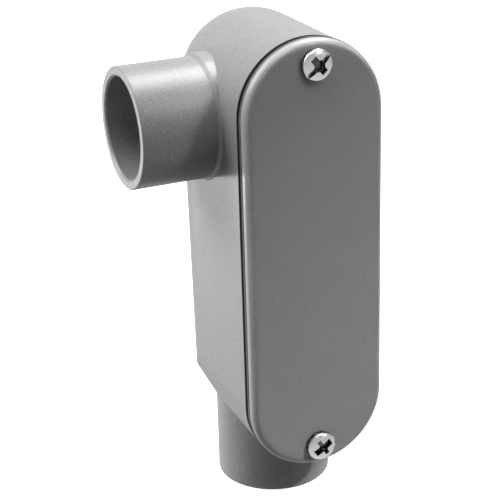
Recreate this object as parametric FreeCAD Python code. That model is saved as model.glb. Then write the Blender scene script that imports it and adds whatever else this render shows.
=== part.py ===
# Conduit body with one side hub and one end hub, moulded in rigid plastic, for 3/4 inch conduit.
#
# The body stands on the mouth of its end hub. The origin is the centre of that mouth, +Z runs up
# the body, the cover faces -Y and the side hub points to -X. All sizes are in millimetres.
#
# Five pieces: the housing, its gasket, its cover and the two screws that hold the cover.
import FreeCAD
import Part
import math
import os

V = FreeCAD.Vector

# Conduit and sockets
conduit_outer_diameter = 26.67
conduit_inner_diameter = 20.9
socket_clearance = 0.165        # on the radius, the gap that solvent cement fills
socket_depth = 19.5
socket_entry_bevel = 0.5
throat_flare = 1.5              # wide edge that spares the wires where they enter the body

# Hubs
hub_wall = 2.6
hub_mouth_bevel = 0.25
hub_collar_height = 0.8         # sloping collar where the side hub leaves the wall

# Housing
body_side_margin = 3.2          # from the hub's outside to the side wall
body_front_margin = 9.7         # from the rim to the hubs
body_back_margin = 11.1         # from the hubs to the back, at the upper end
side_hub_top_margin = 8.7       # from the upper end of the rim to the side hub
side_hub_reach = 21.2           # from the side wall to the mouth
end_hub_reach = 15.45           # from the lower end of the rim to the mouth
end_hub_floor = 4.0             # from the bottom of the socket to the cavity
housing_wall = 3.0
upper_end_lean_deg = 0.6        # both end walls lean upwards towards the back
lower_end_lean_deg = 1.8        # as far back as the hubs' axes
lower_end_back_lean_deg = 11.0  # behind them
back_lean_deg = 1.3             # the body is deeper at its upper end

# Cover
cover_length = 118.4
cover_overhang = 0.15           # beyond the rim, all round
cover_thickness = 3.4
cover_lip_height = 0.6          # square edge under the rounded one
cover_lip_step = 0.2
cover_edge_radius = 2.0

# Gasket
gasket_thickness = 1.6
gasket_inset = 0.1              # back from the outside and the inside of the rim

# Cover screws
screw_thread_diameter = 4.16
screw_length = 12.7             # under the head
screw_tip_chamfer = 0.6
screw_thread_clearance = 0.03   # on the radius, in the tapped hole
screw_pass_clearance = 0.3      # on the radius, in the cover and the gasket
screw_head_diameter = 8.1
screw_head_height = 2.5
screw_head_side = 0.9           # height of the head's straight side
screw_shoulder_diameter = 7.0
screw_shoulder_height = 1.9
screw_crown_diameter = 4.6      # flat top of the head
screw_end_distance = 6.25       # from each end of the cover
recess_depth = 1.7
recess_slot_depth = 1.2
recess_slot_length = 5.0
recess_slot_width = 1.15
recess_square = 2.35
recess_turn_deg = {"upper_cover_screw": 41.0, "lower_cover_screw": 27.0}

# Screw bosses
boss_wall = 2.2
boss_web_width = 4.5
boss_floor = 2.5                # below the tapped hole
tap_spare_depth = 2.0           # beyond the tip of the screw

# Room that a cutting tool takes past a face
over = 2.0

# Radii and places that follow from the sizes above
bore_radius = conduit_outer_diameter / 2 + socket_clearance
throat_radius = conduit_inner_diameter / 2
hub_radius = bore_radius + hub_wall
rim_half_width = hub_radius + body_side_margin
hub_axis_depth = body_front_margin + hub_radius
body_depth = hub_axis_depth + hub_radius + body_back_margin
rim_y = -hub_axis_depth
back_axis_depth = body_depth - rim_half_width
rim_low_end = end_hub_reach
rim_high_end = rim_low_end + cover_length - 2 * cover_overhang
side_hub_height = rim_high_end - side_hub_top_margin - hub_radius
gasket_front_y = rim_y - gasket_thickness
cover_front_y = gasket_front_y - cover_thickness
screw_heights = {
    "upper_cover_screw": rim_high_end + cover_overhang - screw_end_distance,
    "lower_cover_screw": rim_low_end - cover_overhang + screw_end_distance,
}
beyond = 2 * cover_length       # a reach that ends well outside the body
tapped_radius = screw_thread_diameter / 2 + screw_thread_clearance
pass_radius = screw_thread_diameter / 2 + screw_pass_clearance
boss_radius = tapped_radius + boss_wall
tapped_depth = screw_length - cover_thickness - gasket_thickness + tap_spare_depth
boss_depth = tapped_depth + boss_floor


def slope(degrees):
    """Sideways run of a wall for each millimetre of its depth."""
    return math.tan(math.radians(degrees))


def end_centres(depth):
    """Heights of the centres of the lower and the upper round end at a depth behind the rim."""
    low = rim_low_end + rim_half_width + slope(lower_end_lean_deg) * min(depth, hub_axis_depth)
    low += slope(lower_end_back_lean_deg) * max(depth - hub_axis_depth, 0.0)
    high = rim_high_end - rim_half_width + slope(upper_end_lean_deg) * depth
    return low, high


def slot_wire(y, half_width, low, high):
    """Closed outline with two round ends, in the plane at y."""
    left_low = V(-half_width, y, low)
    right_low = V(half_width, y, low)
    right_high = V(half_width, y, high)
    left_high = V(-half_width, y, high)
    edges = [
        Part.Arc(left_low, V(0, y, low - half_width), right_low).toShape(),
        Part.LineSegment(right_low, right_high).toShape(),
        Part.Arc(right_high, V(0, y, high + half_width), left_high).toShape(),
        Part.LineSegment(left_high, left_low).toShape(),
    ]
    return Part.Wire(edges)


def slot_plate(y, thickness, inset):
    """Flat plate with round ends, in front of y, set in from the housing's rim."""
    low, high = end_centres(0.0)
    face = Part.Face(slot_wire(y, rim_half_width - inset, low, high))
    return face.extrude(V(0, -thickness, 0))


def half_disc(centre, radius, outward):
    """Half disc whose straight side runs along X through its centre."""
    left = centre - V(radius, 0, 0)
    right = centre + V(radius, 0, 0)
    arc = Part.Arc(left, centre + outward * radius, right).toShape()
    return Part.Face(Part.Wire([arc, Part.LineSegment(right, left).toShape()]))


def prism(face, direction):
    """Straight solid that runs from a face in a direction, well past the body."""
    return face.extrude(V(direction).normalize() * beyond)


def room_above_bar(depth, direction, radius):
    """All that lies over one stretch of the lower end: a half-round groove with room above it.

    The groove's axis meets the body's centre plane at the depth behind the rim.
    """
    along = V(direction).normalize()
    outward = V(0, along.z, -along.y)
    start = V(0, rim_y + depth, end_centres(depth)[0]) - along * beyond / 2
    half = V(radius, 0, 0)
    up = outward * -beyond
    corners = [start - half, start + half, start + half + up, start - half + up]
    upright = Part.Face(Part.makePolygon(corners + corners[:1]))
    return prism(half_disc(start, radius, outward), along).fuse(prism(upright, along))


def trough(radius, depth, upper_heights):
    """Closed trough from the rim plane back: a half-round back and two round ends.

    The upper heights are those of the upper end's axis at the rim and at the back's axis; a piece
    of a ball joins that end to the back. The lower end leans in two stretches that meet at the
    depth of the hubs' axes, and it is mitred with the back.
    """
    axis_y = rim_y + depth - radius
    rim, centre = [V(0, y, height) for y, height in zip((rim_y, axis_y), upper_heights)]
    side = V(-radius, 0, 0)
    down = V(0, -slope(back_lean_deg), -1)
    drop = V(down) * beyond
    foot = V(0, rim_y, (centre + drop).z)
    corners = [rim + side, centre + side, centre + drop + side, foot + side]
    middle = Part.Face(Part.makePolygon(corners + corners[:1])).extrude(side * -2)
    backward = V(0, -down.z, down.y).normalize()
    half_back = prism(half_disc(centre, radius, backward), down)

    forward = rim - centre
    outward = V(0, forward.z, -forward.y).normalize()
    front = Part.makeBox(beyond, beyond, beyond, V(-beyond / 2, rim_y - beyond, 0))
    bar = half_disc(centre, radius, outward).extrude(forward * 2).cut(front)
    angle = math.degrees(backward.getAngle(outward))
    ball_piece = half_disc(centre, radius, backward).revolve(centre, V(1, 0, 0), angle)
    whole = middle.fuse([half_back, bar, ball_piece])

    front_stretch = V(0, 1, slope(lower_end_lean_deg))
    back_stretch = V(0, 1, slope(lower_end_back_lean_deg))
    whole = whole.common(room_above_bar(hub_axis_depth, front_stretch, radius))
    whole = whole.common(room_above_bar(hub_axis_depth, back_stretch, radius))
    return one_solid(whole.removeSplitter())


def outer_block():
    """Outside of the housing, without its hubs."""
    heights = (end_centres(0.0)[1], end_centres(back_axis_depth)[1])
    return trough(rim_half_width, body_depth, heights)


def one_solid(shape):
    """The solid itself, where an operation has wrapped it up as a compound."""
    return shape.Solids[0] if len(shape.Solids) == 1 else shape


def sample_points(edge):
    """A few points spread along an edge."""
    return edge.discretize(7)


def in_plane_at(edge, y):
    """Whether an edge lies wholly in the plane at y."""
    return all(abs(point.y - y) < 1e-4 for point in sample_points(edge))


def cylinder_y(radius, y_front, y_back, height):
    """Round bar along Y on the body's centre plane."""
    return Part.makeCylinder(radius, y_back - y_front, V(0, y_front, height), V(0, 1, 0))


def turned_piece(points, base, direction):
    """Solid of revolution about a line from the base; the profile's Z runs along the line."""
    profile = Part.Face(Part.makePolygon(points + points[:1]))
    piece = profile.revolve(V(0, 0, 0), V(0, 0, 1), 360)
    turn = FreeCAD.Rotation(V(0, 0, 1), direction)
    piece.Placement = FreeCAD.Placement(base, turn)
    return piece


def hub_outside(mouth, direction, root_distance):
    """Outside of a hub, from its bevelled mouth into the housing."""
    points = [
        V(0, 0, 0),
        V(hub_radius - hub_mouth_bevel, 0, 0),
        V(hub_radius, 0, hub_mouth_bevel),
        V(hub_radius, 0, root_distance),
        V(0, 0, root_distance),
    ]
    return turned_piece(points, mouth, direction)


def hub_collar(mouth, direction, wall_distance, root_distance):
    """Sloping collar round the root of a hub that leaves a flat wall."""
    collar_radius = hub_radius + hub_collar_height
    points = [
        V(0, 0, wall_distance - hub_collar_height),
        V(hub_radius, 0, wall_distance - hub_collar_height),
        V(collar_radius, 0, wall_distance),
        V(collar_radius, 0, root_distance),
        V(0, 0, root_distance),
    ]
    return turned_piece(points, mouth, direction)


def socket_space(mouth, direction, throat_end, inner_end):
    """Space inside a hub: bevelled entry, bore, stop for the conduit and widened throat."""
    entry_radius = bore_radius + socket_entry_bevel
    points = [
        V(0, 0, -over),
        V(entry_radius, 0, -over),
        V(entry_radius, 0, 0),
        V(bore_radius, 0, socket_entry_bevel),
        V(bore_radius, 0, socket_depth),
        V(throat_radius, 0, socket_depth),
        V(throat_radius, 0, throat_end - throat_flare),
        V(throat_radius + throat_flare, 0, throat_end),
        V(throat_radius + throat_flare, 0, inner_end),
        V(0, 0, inner_end),
    ]
    return turned_piece(points, mouth, direction)


def cavity():
    """Wiring space with an upper end square to the rim, stepped up over the end hub's socket."""
    inner_half_width = rim_half_width - housing_wall
    high = end_centres(0.0)[1]
    space = trough(inner_half_width, body_depth - housing_wall, (high, high))
    floor_height = socket_depth + end_hub_floor
    corner = V(-beyond / 2, -hub_radius, floor_height - beyond)
    block = Part.makeBox(beyond, beyond, beyond, corner)
    return space.cut(block)


def screw_boss(height, away):
    """Boss for one cover screw, with the web that joins it to the end wall on the side away."""
    boss = cylinder_y(boss_radius, rim_y, rim_y + boss_depth, height)
    reach = screw_end_distance
    corner = V(-boss_web_width / 2, rim_y, min(height, height + away * reach))
    web = Part.makeBox(boss_web_width, boss_depth, reach, corner)
    return boss.fuse(web)


def make_housing():
    """One moulding: shell, both hubs with their sockets, and the screw bosses."""
    outside = outer_block()

    side_mouth = V(-rim_half_width - side_hub_reach, 0, side_hub_height)
    to_right = V(1, 0, 0)
    side_centre = side_hub_reach + rim_half_width
    side_throat_end = side_hub_reach + housing_wall
    side_hub = hub_outside(side_mouth, to_right, side_centre)
    side_collar = hub_collar(side_mouth, to_right, side_hub_reach, side_centre)
    side_socket = socket_space(side_mouth, to_right, side_throat_end, side_centre)

    end_mouth = V(0, 0, 0)
    upwards = V(0, 0, 1)
    end_centre = end_centres(hub_axis_depth)[0]
    end_throat_end = socket_depth + end_hub_floor
    end_hub = hub_outside(end_mouth, upwards, end_centre)
    end_socket = socket_space(end_mouth, upwards, end_throat_end, end_throat_end + over)

    solid = outside.fuse([side_hub, side_collar, end_hub]).cut(cavity())
    for name, height in screw_heights.items():
        away = 1 if name == "upper_cover_screw" else -1
        solid = solid.fuse(screw_boss(height, away).common(outside))
    solid = solid.cut([side_socket, end_socket])
    for height in screw_heights.values():
        solid = solid.cut(cylinder_y(tapped_radius, rim_y - over, rim_y + tapped_depth, height))
    return one_solid(solid.removeSplitter())


def make_gasket():
    """Flat ring on the rim, with a pad round each screw."""
    inner_half_width = rim_half_width - housing_wall
    low, high = end_centres(0.0)
    ring = slot_plate(rim_y, gasket_thickness, gasket_inset)
    opening = Part.Face(slot_wire(rim_y + over, inner_half_width + gasket_inset, low, high))
    ring_only = ring.cut(opening.extrude(V(0, -gasket_thickness - 2 * over, 0)))
    for height in screw_heights.values():
        pad = cylinder_y(boss_radius, gasket_front_y, rim_y, height).common(ring)
        ring_only = ring_only.fuse(pad)
    for height in screw_heights.values():
        ring_only = ring_only.cut(cylinder_y(pass_radius, gasket_front_y - over, rim_y + over, height))
    return ring_only.removeSplitter()


def make_cover():
    """Flat cover with a thin square lip, a rounded front edge and two screw holes."""
    lip = slot_plate(gasket_front_y, cover_lip_height, -cover_overhang)
    raised = slot_plate(gasket_front_y, cover_thickness, cover_lip_step - cover_overhang)
    front_edges = [edge for edge in raised.Edges if in_plane_at(edge, cover_front_y)]
    raised = raised.makeFillet(cover_edge_radius, front_edges)
    plate = lip.fuse(raised)
    for height in screw_heights.values():
        plate = plate.cut(cylinder_y(pass_radius, cover_front_y - over, gasket_front_y + over, height))
    return plate.removeSplitter()


def make_screw(height, recess_turn):
    """Pan-head machine screw with a combined square and cross recess, as a plain bar below."""
    shank_radius = screw_thread_diameter / 2
    head_radius = screw_head_diameter / 2
    points = [
        V(0, 0, -screw_head_height),
        V(screw_crown_diameter / 2, 0, -screw_head_height),
        V(screw_shoulder_diameter / 2, 0, -screw_shoulder_height),
        V(head_radius, 0, -screw_head_side),
        V(head_radius, 0, 0),
        V(shank_radius, 0, 0),
        V(shank_radius, 0, screw_length - screw_tip_chamfer),
        V(shank_radius - screw_tip_chamfer, 0, screw_length),
        V(0, 0, screw_length),
    ]
    base = V(0, cover_front_y, height)
    screw = turned_piece(points, base, V(0, 1, 0))
    recess = screw_recess(recess_turn)
    recess.Placement = screw.Placement.multiply(recess.Placement)
    return one_solid(screw.cut(recess))


def screw_recess(recess_turn):
    """Cross of two slots with a deeper square in the middle."""
    start = -screw_head_height - over
    long_side = V(-recess_slot_length / 2, -recess_slot_width / 2, start)
    slot = Part.makeBox(recess_slot_length, recess_slot_width, recess_slot_depth + over, long_side)
    across = slot.copy()
    across.rotate(V(0, 0, 0), V(0, 0, 1), 90)
    corner = V(-recess_square / 2, -recess_square / 2, start)
    square = Part.makeBox(recess_square, recess_square, recess_depth + over, corner)
    recess = slot.fuse([across, square])
    recess.rotate(V(0, 0, 0), V(0, 0, 1), recess_turn)
    return recess


def main():
    """Build each piece and write it."""
    pieces = {
        "housing": make_housing(),
        "gasket": make_gasket(),
        "cover": make_cover(),
    }
    for name, height in screw_heights.items():
        pieces[name] = make_screw(height, recess_turn_deg[name])
    os.makedirs("parts", exist_ok=True)
    for name, shape in pieces.items():
        solids = shape.Solids
        print(name, "solids", len(solids), "valid", shape.isValid(), "volume", round(shape.Volume, 1))
        body = solids[0] if len(solids) == 1 else shape
        body.exportStep("parts/" + name + ".step")


main()
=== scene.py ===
"""Looks of a moulded conduit body: satin plastic, a rubber gasket and bright plated screws."""

import logging
import math
from dataclasses import dataclass, field, replace
from enum import Enum

import bmesh
import bpy
from mathutils import Matrix, Vector

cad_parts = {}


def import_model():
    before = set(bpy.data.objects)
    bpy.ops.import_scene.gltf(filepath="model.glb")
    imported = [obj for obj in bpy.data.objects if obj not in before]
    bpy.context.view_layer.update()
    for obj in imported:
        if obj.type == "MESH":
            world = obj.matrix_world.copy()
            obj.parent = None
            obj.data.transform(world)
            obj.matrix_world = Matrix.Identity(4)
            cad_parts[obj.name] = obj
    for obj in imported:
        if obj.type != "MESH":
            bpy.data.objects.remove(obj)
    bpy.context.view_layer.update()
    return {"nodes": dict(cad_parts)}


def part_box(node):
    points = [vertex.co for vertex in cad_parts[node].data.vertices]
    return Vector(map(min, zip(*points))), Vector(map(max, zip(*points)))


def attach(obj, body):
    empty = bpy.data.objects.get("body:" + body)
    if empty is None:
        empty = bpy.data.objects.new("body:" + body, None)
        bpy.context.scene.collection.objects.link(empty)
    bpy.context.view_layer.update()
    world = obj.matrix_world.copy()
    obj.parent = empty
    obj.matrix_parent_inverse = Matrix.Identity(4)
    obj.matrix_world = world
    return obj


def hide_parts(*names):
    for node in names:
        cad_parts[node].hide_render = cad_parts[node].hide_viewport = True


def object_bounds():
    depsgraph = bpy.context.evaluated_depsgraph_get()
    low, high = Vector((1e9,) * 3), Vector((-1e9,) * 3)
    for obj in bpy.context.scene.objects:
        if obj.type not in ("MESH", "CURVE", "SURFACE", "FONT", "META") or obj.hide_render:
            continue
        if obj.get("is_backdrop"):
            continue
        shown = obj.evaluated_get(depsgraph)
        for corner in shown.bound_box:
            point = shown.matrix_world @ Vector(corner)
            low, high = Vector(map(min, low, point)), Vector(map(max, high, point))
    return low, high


log = logging.getLogger("conduit_body")

MM = 0.001
# Points nearer to each other than this are one point.
MERGE_MM = 0.001


class Slot(Enum):
    """The record's material slots."""

    HOUSING = "housing_plastic"
    COVER = "cover_plastic"
    GASKET = "gasket_rubber"
    SCREW = "screw_steel"


def linear(hex_colour: str) -> tuple[float, float, float, float]:
    """Turns an sRGB hex colour into Blender's linear colour.

    Args:
        hex_colour: Six hex digits, with or without a leading #.

    Returns:
        Red, green, blue and an alpha of 1.
    """
    digits = hex_colour.lstrip("#")
    channels = [int(digits[i : i + 2], 16) / 255 for i in (0, 2, 4)]
    curve = [c / 12.92 if c <= 0.04045 else ((c + 0.055) / 1.055) ** 2.4 for c in channels]
    return (curve[0], curve[1], curve[2], 1.0)


def add_node(
    tree: bpy.types.NodeTree,
    kind: str,
    settings: dict[str, object] | None = None,
    inputs: dict[str | int, object] | None = None,
    links: dict[str | int, bpy.types.NodeSocket] | None = None,
) -> bpy.types.Node:
    """Adds a shader node with its settings, input values and incoming links.

    Args:
        tree: The node tree that gets the node.
        kind: Blender's name of the node type.
        settings: Properties of the node.
        inputs: Input values by socket name or number.
        links: Output sockets by the name or number of the input that they feed.

    Returns:
        The new node.
    """
    node = tree.nodes.new(kind)
    for name, value in (settings or {}).items():
        setattr(node, name, value)
    for name, value in (inputs or {}).items():
        node.inputs[name].default_value = value
    for name, socket in (links or {}).items():
        tree.links.new(socket, node.inputs[name])
    return node


def new_material(name: str) -> tuple[bpy.types.Material, bpy.types.Node]:
    """Makes an empty material.

    Args:
        name: The material's name.

    Returns:
        The material and its output node.
    """
    material = bpy.data.materials.new(name)
    material.use_nodes = True
    material.node_tree.nodes.clear()
    output = add_node(material.node_tree, "ShaderNodeOutputMaterial")
    return material, output


@dataclass(frozen=True)
class SurfaceValues:
    """The sockets that give a plastic surface its colour, its roughness and its relief."""

    colour: bpy.types.NodeSocket
    roughness: bpy.types.NodeSocket
    normal: bpy.types.NodeSocket


@dataclass(frozen=True)
class MouldedRigidPlastic:
    """Grey rigid plastic, injection moulded in a spark-eroded mould.

    The mould leaves a fine matt grain, so the surface is satin and a little speckled. Edges that
    hands and boxes reach are rubbed smoother and paler than the flats, the paler tone partly a painted
    highlight. Beside seams the tone is darkened with dust and painted shade.
    """

    name: str
    colour: str = "#939495"
    fleck_light: str = "#9e9fa0"
    fleck_dark: str = "#87888a"
    fleck_range: tuple[float, float] = (0.36, 0.64)
    # The grain of such moulds is some 0.05 mm wide. It is drawn coarser, or it wouldn't show.
    grain_mm: float = 0.4
    grain_height_mm: float = 0.012
    # Slow drift of the tone, as a share of it, and the width of its patches.
    mottle: float = 0.02
    mottle_mm: float = 6.0
    roughness: float = 0.37
    roughness_drift: float = 0.06
    ior: float = 1.53
    edge_round_mm: float = 0.35
    # Depth where the rubbing, drawn paler partly as a painted highlight, starts and where it is full.
    worn_and_highlight_y_mm: tuple[float, float] | None = None
    # Paler tone of rubbed edges and of the parting line; on the cover's rounded edge it is partly a
    # painted highlight.
    pale_colour: str = "#a9aaab"
    rubbed_smoother: float = 0.03
    # Depth where the dust and painted shade of the seam are full and where they end, what they leave of
    # the tone, how much they dull.
    seam_dust_and_shade_y_mm: tuple[float, float] | None = None
    seam_dust_and_shade: float = 0.24
    seam_duller: float = 0.5
    # Lower and upper end of the line between the mould's halves, its reach to each side, its height.
    parting_z_mm: tuple[float, float] | None = None
    parting_width_mm: float = 0.22
    parting_height_mm: float = 0.06

    def build(self) -> bpy.types.Material:
        """Makes the material.

        Returns:
            The material.
        """
        material, output = new_material(self.name)
        tree = material.node_tree
        place = add_node(tree, "ShaderNodeTexCoord").outputs["Object"]
        finish = self.grained(tree, place)
        if self.worn_and_highlight_y_mm:
            finish = self.rubbed_and_highlighted(tree, place, finish)
        if self.seam_dust_and_shade_y_mm:
            finish = self.soiled_and_shaded(tree, place, finish)
        if self.parting_z_mm:
            finish = self.parted(tree, place, finish)
        surface = add_node(
            tree,
            "ShaderNodeBsdfPrincipled",
            inputs={"IOR": self.ior, "Metallic": 0.0},
            links={
                "Base Color": finish.colour,
                "Roughness": finish.roughness,
                "Normal": finish.normal,
            },
        )
        tree.links.new(surface.outputs["BSDF"], output.inputs["Surface"])
        return material

    def grained(self, tree: bpy.types.NodeTree, place: bpy.types.NodeSocket) -> SurfaceValues:
        """The surface as it leaves the mould: flecks, slow drift of the tone, grain and soft edges.

        Args:
            tree: The material's node tree.
            place: Place on the piece.

        Returns:
            The finish.
        """
        grain = add_node(
            tree,
            "ShaderNodeTexNoise",
            inputs={"Scale": 1 / (self.grain_mm * MM), "Detail": 3.0, "Roughness": 0.6},
            links={"Vector": place},
        )
        patches = add_node(
            tree,
            "ShaderNodeTexNoise",
            inputs={"Scale": 1 / (self.mottle_mm * MM), "Detail": 2.0, "Roughness": 0.5},
            links={"Vector": place},
        )
        flecks = add_node(tree, "ShaderNodeValToRGB", links={"Fac": grain.outputs["Fac"]})
        stops = flecks.color_ramp.elements
        stops[0].position, stops[1].position = self.fleck_range
        stops[0].color = linear(self.fleck_dark)
        stops[1].color = linear(self.fleck_light)
        stops.new(sum(self.fleck_range) / 2).color = linear(self.colour)
        drift = add_node(
            tree,
            "ShaderNodeMapRange",
            inputs={"To Min": 1.0 - self.mottle, "To Max": 1.0 + self.mottle},
            links={"Value": patches.outputs["Fac"]},
        )
        tinted = add_node(
            tree,
            "ShaderNodeVectorMath",
            settings={"operation": "SCALE"},
            links={0: flecks.outputs["Color"], "Scale": drift.outputs["Result"]},
        )
        satin = add_node(
            tree,
            "ShaderNodeMapRange",
            inputs={
                "To Min": self.roughness - self.roughness_drift,
                "To Max": self.roughness + self.roughness_drift,
            },
            links={"Value": grain.outputs["Fac"]},
        )
        rounded = add_node(
            tree,
            "ShaderNodeBevel",
            settings={"samples": 6},
            inputs={"Radius": self.edge_round_mm * MM},
        )
        relief = add_node(
            tree,
            "ShaderNodeBump",
            inputs={"Strength": 1.0, "Distance": self.grain_height_mm * MM},
            links={"Height": grain.outputs["Fac"], "Normal": rounded.outputs["Normal"]},
        )
        return SurfaceValues(tinted.outputs["Vector"], satin.outputs["Result"], relief.outputs["Normal"])

    def rubbed_and_highlighted(
        self, tree: bpy.types.NodeTree, place: bpy.types.NodeSocket, finish: SurfaceValues
    ) -> SurfaceValues:
        """Makes the surface paler and smoother away from the flat face, on the rounded edge. The paler
        tone is wear and partly a painted highlight.

        Args:
            tree: The material's node tree.
            place: Place on the piece.
            finish: The finish before.

        Returns:
            The rubbed finish.
        """
        start, full = self.worn_and_highlight_y_mm
        depth = add_node(tree, "ShaderNodeSeparateXYZ", links={"Vector": place}).outputs["Y"]
        wear_and_highlight = add_node(
            tree,
            "ShaderNodeMapRange",
            settings={"interpolation_type": "SMOOTHSTEP"},
            inputs={"From Min": start * MM, "From Max": full * MM},
            links={"Value": depth},
        ).outputs["Result"]
        # Painted highlight, with wear: the rounded edge is drawn paler.
        paler = add_node(
            tree,
            "ShaderNodeMix",
            settings={"data_type": "RGBA"},
            inputs={"B": linear(self.pale_colour)},
            links={"Factor": wear_and_highlight, "A": finish.colour},
        )
        smoother = add_node(
            tree,
            "ShaderNodeMath",
            settings={"operation": "MULTIPLY_ADD"},
            inputs={1: -self.rubbed_smoother},
            links={0: wear_and_highlight, 2: finish.roughness},
        )
        return SurfaceValues(paler.outputs["Result"], smoother.outputs["Value"], finish.normal)

    def soiled_and_shaded(
        self, tree: bpy.types.NodeTree, place: bpy.types.NodeSocket, finish: SurfaceValues
    ) -> SurfaceValues:
        """Darkens the surface beside a seam, as dust and painted shade, and dulls it.

        Args:
            tree: The material's node tree.
            place: Place on the piece.
            finish: The finish before.

        Returns:
            The soiled finish.
        """
        full, end = self.seam_dust_and_shade_y_mm
        depth = add_node(tree, "ShaderNodeSeparateXYZ", links={"Vector": place}).outputs["Y"]
        left, duller = [
            add_node(
                tree,
                "ShaderNodeMapRange",
                inputs={
                    "From Min": full * MM,
                    "From Max": end * MM,
                    "To Min": at_seam,
                    "To Max": away_from_seam,
                },
                links={"Value": depth},
            ).outputs["Result"]
            for at_seam, away_from_seam in ((self.seam_dust_and_shade, 1.0), (self.seam_duller, 0.0))
        ]
        # Painted shade, with dust: the tone is darkened beside the seam.
        darker = add_node(
            tree,
            "ShaderNodeVectorMath",
            settings={"operation": "SCALE"},
            links={0: finish.colour, "Scale": left},
        )
        matt = add_node(
            tree,
            "ShaderNodeMath",
            settings={"operation": "ADD"},
            links={0: finish.roughness, 1: duller},
        )
        return SurfaceValues(darker.outputs["Vector"], matt.outputs["Value"], finish.normal)

    def parted(
        self, tree: bpy.types.NodeTree, place: bpy.types.NodeSocket, finish: SurfaceValues
    ) -> SurfaceValues:
        """Raises the fine line where the mould's halves met, and rubs it pale.

        Args:
            tree: The material's node tree.
            place: Place on the piece.
            finish: The finish before.

        Returns:
            The finish with the line.
        """
        line = self.parting_line(tree, place)
        bead = add_node(
            tree,
            "ShaderNodeBump",
            inputs={"Strength": 1.0, "Distance": self.parting_height_mm * MM},
            links={"Height": line, "Normal": finish.normal},
        )
        pale = add_node(
            tree,
            "ShaderNodeMix",
            settings={"data_type": "RGBA"},
            inputs={"B": linear(self.pale_colour)},
            links={"Factor": line, "A": finish.colour},
        )
        return SurfaceValues(pale.outputs["Result"], finish.roughness, bead.outputs["Normal"])

    def parting_line(
        self, tree: bpy.types.NodeTree, place: bpy.types.NodeSocket
    ) -> bpy.types.NodeSocket:
        """Where the mould's halves met, from 0 to 1, in the plane of the hubs' axes.

        Args:
            tree: The material's node tree.
            place: Place on the piece.

        Returns:
            The socket that gives the line.
        """
        split = add_node(tree, "ShaderNodeSeparateXYZ", links={"Vector": place})
        away = add_node(
            tree,
            "ShaderNodeMath",
            settings={"operation": "ABSOLUTE"},
            links={0: split.outputs["Y"]},
        )
        line = add_node(
            tree,
            "ShaderNodeMapRange",
            settings={"interpolation_type": "SMOOTHSTEP"},
            inputs={"From Max": self.parting_width_mm * MM, "To Min": 1.0, "To Max": 0.0},
            links={"Value": away.outputs["Value"]},
        ).outputs["Result"]
        for side, end in zip(("GREATER_THAN", "LESS_THAN"), self.parting_z_mm):
            inside = add_node(
                tree,
                "ShaderNodeMath",
                settings={"operation": side},
                inputs={1: end * MM},
                links={0: split.outputs["Z"]},
            )
            line = add_node(
                tree,
                "ShaderNodeMath",
                settings={"operation": "MULTIPLY"},
                links={0: line, 1: inside.outputs["Value"]},
            ).outputs["Value"]
        return line


@dataclass(frozen=True)
class DieCutRubber:
    """Black rubber sheet with a grainy cut edge, so dull that it hardly shines."""

    name: str = Slot.GASKET.value
    colour: str = "#0a0a0a"
    roughness: float = 0.95
    ior: float = 1.52
    shine: float = 0.08
    # The crumbs of a cut edge are finer than this. They are drawn coarser, or they wouldn't show.
    grain_mm: float = 0.4
    grain_height_mm: float = 0.02
    grain_strength: float = 0.6

    def build(self) -> bpy.types.Material:
        """Makes the material.

        Returns:
            The material.
        """
        material, output = new_material(self.name)
        tree = material.node_tree
        place = add_node(tree, "ShaderNodeTexCoord").outputs["Object"]
        grain = add_node(
            tree,
            "ShaderNodeTexNoise",
            inputs={"Scale": 1 / (self.grain_mm * MM), "Detail": 4.0},
            links={"Vector": place},
        )
        relief = add_node(
            tree,
            "ShaderNodeBump",
            inputs={"Strength": self.grain_strength, "Distance": self.grain_height_mm * MM},
            links={"Height": grain.outputs["Fac"]},
        )
        surface = add_node(
            tree,
            "ShaderNodeBsdfPrincipled",
            inputs={
                "Base Color": linear(self.colour),
                "Roughness": self.roughness,
                "IOR": self.ior,
                "Specular IOR Level": self.shine,
            },
            links={"Normal": relief.outputs["Normal"]},
        )
        tree.links.new(surface.outputs["BSDF"], output.inputs["Surface"])
        return material


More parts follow.
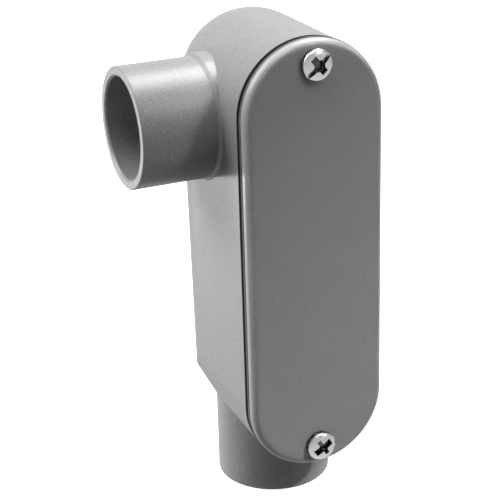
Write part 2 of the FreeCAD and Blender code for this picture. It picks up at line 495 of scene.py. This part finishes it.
@dataclass(frozen=True)
class BrightZincPlate:
    """Steel with bright zinc plating: a clear cold shine, slightly uneven from the bath.

    Deep in the recess and in the crevice under the rim, the colour is painted dark as shade.
    """

    name: str = Slot.SCREW.value
    colour: str = "#d2d3d5"
    roughness: tuple[float, float] = (0.18, 0.36)
    unevenness_mm: float = 0.9
    unevenness_height_mm: float = 0.01
    unevenness_strength: float = 0.5
    # Painted shade: what lies open to less than the first share of its surroundings is dark, past the
    # second bright.
    shade_colour: str = "#141414"
    shade_range: tuple[float, float] = (0.55, 0.9)
    shade_reach_mm: float = 2.6

    def build(self) -> bpy.types.Material:
        """Makes the material.

        Returns:
            The material.
        """
        material, output = new_material(self.name)
        tree = material.node_tree
        place = add_node(tree, "ShaderNodeTexCoord").outputs["Object"]
        bath = add_node(
            tree,
            "ShaderNodeTexNoise",
            inputs={"Scale": 1 / (self.unevenness_mm * MM), "Detail": 4.0, "Roughness": 0.55},
            links={"Vector": place},
        )
        smooth, dull = self.roughness
        sheen = add_node(
            tree,
            "ShaderNodeMapRange",
            inputs={"To Min": smooth, "To Max": dull},
            links={"Value": bath.outputs["Fac"]},
        )
        relief = add_node(
            tree,
            "ShaderNodeBump",
            inputs={
                "Strength": self.unevenness_strength,
                "Distance": self.unevenness_height_mm * MM,
            },
            links={"Height": bath.outputs["Fac"]},
        )
        openness = add_node(
            tree,
            "ShaderNodeAmbientOcclusion",
            settings={"samples": 8},
            inputs={"Distance": self.shade_reach_mm * MM},
        )
        # Painted shade: the colour goes dark where little of the surroundings is open.
        plate_and_painted_shade = add_node(tree, "ShaderNodeValToRGB", links={"Fac": openness.outputs["AO"]})
        stops = plate_and_painted_shade.color_ramp.elements
        stops[0].position, stops[1].position = self.shade_range
        stops[0].color = linear(self.shade_colour)
        stops[1].color = linear(self.colour)
        surface = add_node(
            tree,
            "ShaderNodeBsdfPrincipled",
            inputs={"Metallic": 1.0},
            links={
                "Base Color": plate_and_painted_shade.outputs["Color"],
                "Roughness": sheen.outputs["Result"],
                "Normal": relief.outputs["Normal"],
            },
        )
        tree.links.new(surface.outputs["BSDF"], output.inputs["Surface"])
        return material


def dress(piece: bpy.types.Object, material: bpy.types.Material) -> None:
    """Gives a piece one material in all its slots.

    Args:
        piece: The piece.
        material: Its finish.
    """
    if not piece.data.materials:
        piece.data.materials.append(material)
    for slot in piece.material_slots:
        slot.material = material


def close_up(shape: bmesh.types.BMesh) -> None:
    """Merges doubled points and turns all faces outwards.

    Args:
        shape: A closed shape in millimetres.
    """
    bmesh.ops.remove_doubles(shape, verts=shape.verts, dist=MERGE_MM)
    bmesh.ops.recalc_face_normals(shape, faces=shape.faces)


def new_piece(name: str, shape: bmesh.types.BMesh) -> bpy.types.Object:
    """Makes an object with smooth faces out of a shape.

    Args:
        name: The object's name.
        shape: Its mesh, which is used up.

    Returns:
        The object, linked to the scene.
    """
    for face in shape.faces:
        face.smooth = True
    mesh = bpy.data.meshes.new(name)
    shape.to_mesh(mesh)
    shape.free()
    piece = bpy.data.objects.new(name, mesh)
    bpy.context.scene.collection.objects.link(piece)
    return piece


@dataclass
class Housing:
    """The moulding as the CAD has it, closed up, with its shading mended at the point of its round top.

    The copy keeps the CAD's shading at every corner, apart from those where it lies far off the
    face, as it does at the ball's point.
    """

    node: str = "housing"
    # Least cosine between a corner's shading and its face.
    least_match: float = 0.8
    # How far the dust and painted shade of the seam reach behind the rim.
    seam_shade_reach_mm: float = 0.4
    plastic: MouldedRigidPlastic = MouldedRigidPlastic(
        Slot.HOUSING.value,
        fleck_light="#a4a5a6",
        fleck_dark="#828384",
        grain_mm=0.32,
        parting_z_mm=(36.6, 92.0),
    )

    def build(self, source: bpy.types.Object) -> bpy.types.Object:
        """Copies the CAD piece and lets the copy stand for it.

        Args:
            source: The CAD piece.

        Returns:
            The copy.
        """
        mesh = source.data.copy()
        shading = self.merged(mesh)
        for face in mesh.polygons:
            for corner in face.loop_indices:
                if shading[corner].dot(face.normal) < self.least_match:
                    shading[corner] = face.normal.copy()
        mesh.normals_split_custom_set(shading)
        moulding = bpy.data.objects.new("moulded_housing", mesh)
        bpy.context.scene.collection.objects.link(moulding)
        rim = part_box(self.node)[0].y / MM
        # The rim beside the gasket is darkened with dust and painted shade.
        plastic = replace(self.plastic, seam_dust_and_shade_y_mm=(rim, rim + self.seam_shade_reach_mm))
        dress(moulding, plastic.build())
        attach(moulding, "root")
        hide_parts(self.node)
        return moulding

    def merged(self, mesh: bpy.types.Mesh) -> list[Vector]:
        """Merges the mesh's loose triangles and keeps their shading at each corner.

        Args:
            mesh: The mesh, which is changed.

        Returns:
            The shading normal of each corner of the merged mesh.
        """
        kept = mesh.attributes.new("shading", "FLOAT_VECTOR", "CORNER")
        values = [value for corner in mesh.corner_normals for value in corner.vector]
        kept.data.foreach_set("vector", values)
        shape = bmesh.new()
        shape.from_mesh(mesh)
        bmesh.ops.remove_doubles(shape, verts=shape.verts, dist=MERGE_MM * MM)
        shape.to_mesh(mesh)
        shape.free()
        kept = mesh.attributes["shading"]
        shading = [Vector(corner.vector) for corner in kept.data]
        mesh.attributes.remove(kept)
        return shading


@dataclass
class Gasket:
    """The ring under the cover, in the CAD's own shape."""

    rubber: DieCutRubber = DieCutRubber()

    def build(self, source: bpy.types.Object) -> bpy.types.Object:
        """Dresses the CAD piece.

        Args:
            source: The CAD piece.

        Returns:
            The same piece.
        """
        dress(source, self.rubber.build())
        return source


@dataclass
class Cover:
    """The flat cover, in the CAD's own shape, with its rounded edge rubbed paler, partly as a painted
    highlight, and its lip darkened with dust and painted shade.
    """

    node: str = "cover"
    # Where the rubbing, paler partly as a painted highlight, starts and where it is full, behind the
    # front face.
    worn_and_highlight_mm: tuple[float, float] = (0.01, 0.5)
    # Where the dust and painted shade of the seam are full and where they end, before the back face.
    seam_shade_mm: tuple[float, float] = (0.4, 0.59)
    plastic: MouldedRigidPlastic = MouldedRigidPlastic(
        Slot.COVER.value,
        pale_colour="#b2b3b4",
        edge_round_mm=1.3,
        seam_dust_and_shade=0.12,
    )

    def build(self, source: bpy.types.Object) -> bpy.types.Object:
        """Dresses the CAD piece.

        Args:
            source: The CAD piece.

        Returns:
            The same piece.
        """
        front, back = (corner.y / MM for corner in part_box(self.node))
        # Paler rounded edge, partly a painted highlight, and a lip darkened with dust and painted shade.
        plastic = replace(
            self.plastic,
            worn_and_highlight_y_mm=(front + self.worn_and_highlight_mm[0], front + self.worn_and_highlight_mm[1]),
            seam_dust_and_shade_y_mm=(back - self.seam_shade_mm[0], back - self.seam_shade_mm[1]),
        )
        dress(source, plastic.build())
        return source


@dataclass
class CoverScrew:
    """Pan-head machine screw with a combined recess for a flat, a cross or a square driver.

    Its own axis is Z, outwards, and its zero is under the head, where it meets the cover.
    """

    node: str
    recess_turn_deg: float
    head_radius_mm: float = 4.05
    head_height_mm: float = 2.5
    rim_height_mm: float = 1.1
    rim_undercut_mm: float = 0.35
    # Exponent of the dome's outline: 2 would be an ellipse, more is flatter on top.
    dome_flatness: float = 2.3
    # Length, width and depth of each part of the recess.
    slot_mm: tuple[float, float, float] = (9.0, 1.2, 1.2)
    cross_mm: tuple[float, float, float] = (6.2, 2.2, 1.5)
    square_mm: tuple[float, float, float] = (3.5, 3.5, 2.2)
    square_turn_deg: float = -41.0
    # What the cross and the square have left of their size at their floor.
    recess_taper: float = 0.72
    recess_edge_mm: float = 0.09
    recess_edge_from_deg: float = 38.0
    thread_radius_mm: float = 2.08
    root_radius_mm: float = 1.64
    pitch_mm: float = 0.79
    crest_mm: float = 0.12
    length_mm: float = 12.7
    tip_chamfer_mm: float = 0.6
    # Turns of thread past each end of the shank, which are cut off again.
    spare_turns: int = 2
    shank_into_head_mm: float = 0.2
    head_steps: int = 72
    dome_steps: int = 16
    thread_steps: int = 28
    sharp_from_deg: float = 34.0

    def build(self, plate: bpy.types.Material) -> bpy.types.Object:
        """Makes the screw in its place and lets it stand for its node.

        Args:
            plate: Its finish, which both screws share.

        Returns:
            The screw.
        """
        shape = self.head()
        self.add_thread(shape)
        turn = Matrix.Rotation(math.radians(90), 4, "X")
        # The node's box has the screw's axis in its middle and the top of the head at its front.
        low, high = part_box(self.node)
        axis = (low + high) / 2
        seat = low.y + self.head_height_mm * MM
        place = Matrix.Translation((axis.x, seat, axis.z))
        shape.transform(place @ turn @ Matrix.Scale(MM, 4))
        screw = new_piece(self.node.replace("_cover", ""), shape)
        screw.data.set_sharp_from_angle(angle=math.radians(self.sharp_from_deg))
        dress(screw, plate)
        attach(screw, "root")
        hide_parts(self.node)
        return screw

    def head(self) -> bmesh.types.BMesh:
        """Domed head, turned round its axis and then pressed with the recess.

        Returns:
            The head, in millimetres.
        """
        radius = self.head_radius_mm
        dome = self.head_height_mm - self.rim_height_mm
        outline = [
            (0.0, 0.0),
            (radius - self.rim_undercut_mm, 0.0),
            (radius - self.rim_undercut_mm / 4, self.rim_undercut_mm / 2),
        ]
        for step in range(self.dome_steps + 1):
            angle = math.pi / 2 * step / self.dome_steps
            across = max(math.cos(angle), 0.0) ** (2 / self.dome_flatness)
            up = math.sin(angle) ** (2 / self.dome_flatness)
            outline.append((radius * across, self.rim_height_mm + dome * up))
        solid = bmesh.new()
        points = [solid.verts.new((x, 0.0, z)) for x, z in outline]
        edges = [solid.edges.new(pair) for pair in zip(points, points[1:])]
        bmesh.ops.spin(
            solid,
            geom=points + edges,
            cent=(0.0, 0.0, 0.0),
            axis=(0.0, 0.0, 1.0),
            angle=2 * math.pi,
            steps=self.head_steps,
            use_merge=True,
        )
        close_up(solid)
        return self.pressed(solid)

    def recess_punches(self) -> list[bpy.types.Object]:
        """Punches for the slot, the cross and the square, which stand out above the head.

        Returns:
            The three punches.
        """
        top = self.head_height_mm
        shapes = [
            (self.slot_mm, 0.0, 1.0),
            (self.cross_mm, 90.0, self.recess_taper),
            (self.square_mm, self.square_turn_deg, self.recess_taper),
        ]
        punches = []
        for (length, width, depth), turn_deg, taper in shapes:
            punch = bmesh.new()
            bmesh.ops.create_cube(punch, size=1.0)
            bmesh.ops.scale(punch, vec=(length, width, depth + top), verts=punch.verts)
            middle = (top - depth) / 2 + top
            bmesh.ops.translate(punch, vec=(0.0, 0.0, middle), verts=punch.verts)
            tip = [vert for vert in punch.verts if vert.co.z < top]
            bmesh.ops.scale(punch, vec=(taper, taper, 1.0), verts=tip)
            turn = math.radians(turn_deg + self.recess_turn_deg)
            punch.transform(Matrix.Rotation(turn, 4, "Z"))
            punches.append(new_piece("recess_punch", punch))
        return punches

    def pressed(self, solid: bmesh.types.BMesh) -> bmesh.types.BMesh:
        """Cuts the recess out of the head and eases its edges.

        Args:
            solid: The head without its recess, which is used up.

        Returns:
            The head with its recess.
        """
        blank = new_piece("screw_blank", solid)
        punches = self.recess_punches()
        for punch in punches:
            cut = blank.modifiers.new("recess", "BOOLEAN")
            cut.operation = "DIFFERENCE"
            cut.solver = "EXACT"
            cut.object = punch
        ease = blank.modifiers.new("eased_edges", "BEVEL")
        ease.width = self.recess_edge_mm
        ease.segments = 2
        ease.limit_method = "ANGLE"
        ease.angle_limit = math.radians(self.recess_edge_from_deg)
        ready = blank.evaluated_get(bpy.context.evaluated_depsgraph_get())
        shape = bmesh.new()
        shape.from_mesh(ready.to_mesh())
        ready.to_mesh_clear()
        for spare in [blank, *punches]:
            mesh = spare.data
            bpy.data.objects.remove(spare)
            bpy.data.meshes.remove(mesh)
        return shape

    def add_thread(self, shape: bmesh.types.BMesh) -> None:
        """Adds the threaded shank, a ridge that runs up in a helix.

        Args:
            shape: The head, which gets the shank.
        """
        shank = self.helix()
        for level, outward in ((-self.length_mm, -1.0), (self.shank_into_head_mm, 1.0)):
            bmesh.ops.bisect_plane(
                shank,
                geom=[*shank.verts, *shank.edges, *shank.faces],
                plane_co=(0.0, 0.0, level),
                plane_no=(0.0, 0.0, outward),
                clear_outer=True,
            )
        rims = [edge for edge in shank.edges if edge.is_boundary]
        bmesh.ops.holes_fill(shank, edges=rims, sides=0)
        for vert in shank.verts:
            widest = self.root_radius_mm - self.tip_chamfer_mm / 2 + vert.co.z + self.length_mm
            reach = math.hypot(vert.co.x, vert.co.y)
            if reach > widest:
                bmesh.ops.scale(shank, vec=(widest / reach, widest / reach, 1.0), verts=[vert])
        close_up(shank)
        mesh = bpy.data.meshes.new("screw_shank")
        shank.to_mesh(mesh)
        shank.free()
        shape.from_mesh(mesh)
        bpy.data.meshes.remove(mesh)

    def helix(self) -> bmesh.types.BMesh:
        """Endless thread, open at both ends and longer than the shank.

        Returns:
            The thread, in millimetres.
        """
        thread = bmesh.new()
        start = -self.length_mm - self.spare_turns * self.pitch_mm
        turns = math.ceil(self.length_mm / self.pitch_mm) + 2 * self.spare_turns
        outline = [
            (self.root_radius_mm, 0.0),
            (self.thread_radius_mm, (self.pitch_mm - self.crest_mm) / 2),
            (self.thread_radius_mm, (self.pitch_mm + self.crest_mm) / 2),
            (self.root_radius_mm, self.pitch_mm),
        ]
        points = [thread.verts.new((x, 0.0, start + z)) for x, z in outline]
        edges = [thread.edges.new(pair) for pair in zip(points, points[1:])]
        bmesh.ops.spin(
            thread,
            geom=points + edges,
            cent=(0.0, 0.0, 0.0),
            axis=(0.0, 0.0, 1.0),
            dvec=(0.0, 0.0, self.pitch_mm / self.thread_steps),
            angle=2 * math.pi * turns,
            steps=self.thread_steps * turns,
            use_merge=False,
        )
        bmesh.ops.remove_doubles(thread, verts=thread.verts, dist=MERGE_MM)
        return thread


def direction(azimuth_deg: float, elevation_deg: float) -> Vector:
    """Unit vector towards a place seen from the part, where azimuth 0 lies in front of the cover.

    Args:
        azimuth_deg: Turn from the front, positive towards +X.
        elevation_deg: Height above the floor.

    Returns:
        The direction.
    """
    azimuth = math.radians(azimuth_deg)
    elevation = math.radians(elevation_deg)
    level = Vector((math.sin(azimuth), -math.cos(azimuth), 0.0))
    return level * math.cos(elevation) + Vector((0.0, 0.0, math.sin(elevation)))


def aimed(back: Vector, place: Vector) -> Matrix:
    """Pose of a camera or light that looks against a direction from a place.

    Args:
        back: Direction from the target to the camera or light.
        place: Where the camera or light stands.

    Returns:
        The pose.
    """
    return Matrix.Translation(place) @ back.to_track_quat("Z", "Y").to_matrix().to_4x4()


@dataclass
class Camera:
    """The photograph's camera, in the part's frame."""

    azimuth_deg: float = -23.27
    elevation_deg: float = 22.01
    roll_deg: float = -1.74
    lens_mm: float = 103.26
    sensor_mm: float = 36.0
    distance_mm: float = 396.7
    aim_mm: tuple[float, float, float] = (-5.64, 0.0, 68.46)
    clip_mm: tuple[float, float] = (10.0, 20000.0)

    def build(self) -> bpy.types.Object:
        """Places the camera and makes it the scene's own.

        Returns:
            The camera.
        """
        data = bpy.data.cameras.new("photograph_camera")
        data.lens = self.lens_mm
        data.sensor_width = self.sensor_mm
        data.sensor_height = self.sensor_mm
        data.sensor_fit = "HORIZONTAL"
        data.clip_start, data.clip_end = (distance * MM for distance in self.clip_mm)
        camera = bpy.data.objects.new("photograph_camera", data)
        back = direction(self.azimuth_deg, self.elevation_deg)
        place = Vector(self.aim_mm) * MM + back * self.distance_mm * MM
        roll = Matrix.Rotation(math.radians(self.roll_deg), 4, "Z")
        camera.matrix_world = aimed(back, place) @ roll
        bpy.context.scene.collection.objects.link(camera)
        bpy.context.scene.camera = camera
        return camera


@dataclass
class SoftLight:
    """One rectangular studio light. A narrow spread makes it a spotlight with a soft edge."""

    name: str
    azimuth_deg: float
    elevation_deg: float
    distance_mm: float
    size_mm: tuple[float, float]
    watts: float
    spread_deg: float = 180.0
    # How far below the part's middle it is aimed.
    aim_lower_mm: float = 0.0

    def build(self, target: Vector) -> bpy.types.Object:
        """Places the light.

        Args:
            target: The middle of the part.

        Returns:
            The light.
        """
        data = bpy.data.lights.new(self.name, "AREA")
        data.shape = "RECTANGLE"
        data.size = self.size_mm[0] * MM
        data.size_y = self.size_mm[1] * MM
        data.energy = self.watts
        data.spread = math.radians(self.spread_deg)
        light = bpy.data.objects.new(self.name, data)
        back = direction(self.azimuth_deg, self.elevation_deg)
        aim = target - Vector((0.0, 0.0, self.aim_lower_mm * MM))
        light.matrix_world = aimed(back, aim + back * self.distance_mm * MM)
        bpy.context.scene.collection.objects.link(light)
        return light


@dataclass
class Studio:
    """Pale floor, pale backdrop, dim surroundings and soft lights.

    The floor and the backdrop are there for the camera alone. What they would throw back on the
    part comes from the surroundings, which are dim enough to keep its undersides dark. Bright
    metal mirrors paler surroundings, like the white cards that stand round a polished product.
    """

    floor_mm: float = 6000.0
    floor_roughness: float = 0.9
    floor_ior: float = 1.3
    floor_glow: float = 0.85
    paper_colour: str = "#f4f4f4"
    backdrop_radius_mm: float = 5000.0
    backdrop_subdivisions: int = 4
    # Strength of the light from straight below and straight above, as the part and as mirrors see it.
    ground_and_sky: tuple[float, float] = (0.12, 0.0)
    mirrored_ground_and_sky: tuple[float, float] = (0.95, 0.4)
    # Name, azimuth, elevation, distance, size and power of each light. The front top light is aimed
    # low, so that it brightens the cover's lower half the most.
    lights: list[SoftLight] = field(
        default_factory=lambda: [
            SoftLight("overhead_light", 118.0, 62.0, 900.0, (480.0, 480.0), 9.5),
            SoftLight("top_front_light", -20.0, 68.0, 1000.0, (400.0, 200.0), 2.2),
            SoftLight("left_light", -120.0, 38.0, 1000.0, (600.0, 600.0), 9.2),
            SoftLight("left_back_light", -137.0, -12.0, 1000.0, (60.0, 60.0), 4.2),
            SoftLight(
                "front_top_light",
                34.0,
                46.0,
                900.0,
                (60.0, 60.0),
                0.04,
                spread_deg=16.0,
                aim_lower_mm=80.0,
            ),
            SoftLight("front_fill_light", 32.0, 32.0, 1000.0, (90.0, 90.0), 0.5),
        ]
    )

    def build(self) -> None:
        """Makes the floor, the backdrop, the surroundings and the lights."""
        self.show("floor", self.floor_shape(), self.floor_finish())
        self.show("backdrop", self.backdrop_shape(), self.backdrop_finish())
        self.surroundings()
        low, high = (Vector(corner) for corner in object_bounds())
        for light in self.lights:
            light.build((low + high) / 2)
        bpy.context.scene.view_settings.view_transform = "Standard"

    def floor_shape(self) -> bmesh.types.BMesh:
        """Flat square under the part.

        Returns:
            The square, in metres.
        """
        shape = bmesh.new()
        bmesh.ops.create_grid(shape, x_segments=1, y_segments=1, size=self.floor_mm / 2 * MM)
        return shape

    def backdrop_shape(self) -> bmesh.types.BMesh:
        """Large ball round the whole scene, seen from inside.

        Returns:
            The ball, in metres.
        """
        shape = bmesh.new()
        bmesh.ops.create_icosphere(
            shape, subdivisions=self.backdrop_subdivisions, radius=self.backdrop_radius_mm * MM
        )
        bmesh.ops.reverse_faces(shape, faces=shape.faces)
        return shape

    def show(self, name: str, shape: bmesh.types.BMesh, finish: bpy.types.Material) -> None:
        """Adds a piece of the studio that only the camera sees.

        Args:
            name: The piece's name.
            shape: Its mesh.
            finish: Its material.
        """
        piece = new_piece(name, shape)
        dress(piece, finish)
        piece.visible_diffuse = False
        piece.visible_glossy = False
        piece.visible_shadow = False
        piece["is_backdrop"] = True

    def surroundings(self) -> None:
        """Soft light from all round: a white studio in what the metal mirrors, dim elsewhere."""
        world = bpy.data.worlds.new("surroundings")
        world.use_nodes = True
        tree = world.node_tree
        tree.nodes.clear()
        place = add_node(tree, "ShaderNodeTexCoord").outputs["Generated"]
        height = add_node(tree, "ShaderNodeSeparateXYZ", links={"Vector": place}).outputs["Z"]
        plain, bright = [
            add_node(
                tree,
                "ShaderNodeMapRange",
                inputs={"From Min": -1.0, "From Max": 1.0, "To Min": ground, "To Max": sky},
                links={"Value": height},
            ).outputs["Result"]
            for ground, sky in (self.ground_and_sky, self.mirrored_ground_and_sky)
        ]
        mirrored = add_node(tree, "ShaderNodeLightPath").outputs["Is Glossy Ray"]
        strength = add_node(
            tree,
            "ShaderNodeMapRange",
            links={"Value": mirrored, "To Min": plain, "To Max": bright},
        ).outputs["Result"]
        light = add_node(
            tree,
            "ShaderNodeBackground",
            inputs={"Color": linear("#ffffff")},
            links={"Strength": strength},
        )
        output = add_node(tree, "ShaderNodeOutputWorld")
        tree.links.new(light.outputs["Background"], output.inputs["Surface"])
        bpy.context.scene.world = world

    def floor_finish(self) -> bpy.types.Material:
        """Painted matt studio floor, lit from inside so that shadows on it stay faint.

        Returns:
            The material.
        """
        material, output = new_material("floor_paint")
        colour = linear(self.paper_colour)
        surface = add_node(
            material.node_tree,
            "ShaderNodeBsdfPrincipled",
            inputs={
                "Base Color": colour,
                "Roughness": self.floor_roughness,
                "IOR": self.floor_ior,
                "Emission Color": colour,
                "Emission Strength": self.floor_glow,
            },
        )
        material.node_tree.links.new(surface.outputs["BSDF"], output.inputs["Surface"])
        return material

    def backdrop_finish(self) -> bpy.types.Material:
        """Evenly lit white paper.

        Returns:
            The material.
        """
        material, output = new_material("backdrop_paper")
        glow = add_node(
            material.node_tree, "ShaderNodeEmission", inputs={"Color": linear(self.paper_colour)}
        )
        material.node_tree.links.new(glow.outputs["Emission"], output.inputs["Surface"])
        return material


def main() -> None:
    """Dresses the part and sets up the studio."""
    logging.basicConfig(level=logging.INFO, format="%(name)s %(message)s")
    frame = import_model()
    nodes = frame["nodes"]
    pieces = [
        Housing().build(nodes["housing"]),
        Gasket().build(nodes["gasket"]),
        Cover().build(nodes["cover"]),
    ]
    screws = [
        CoverScrew("upper_cover_screw", recess_turn_deg=41.0),
        CoverScrew(
            "lower_cover_screw",
            recess_turn_deg=33.0,
            slot_mm=(5.4, 2.0, 1.6),
            cross_mm=(6.2, 1.4, 1.4),
            square_mm=(2.8, 2.8, 2.1),
            square_turn_deg=-27.0,
        ),
    ]
    plate = BrightZincPlate().build()
    pieces += [screw.build(plate) for screw in screws]
    for piece in pieces:
        log.info("%s: %d faces", piece.name, len(piece.data.polygons))
    Studio().build()
    Camera().build()


if __name__ == "__main__":
    main()
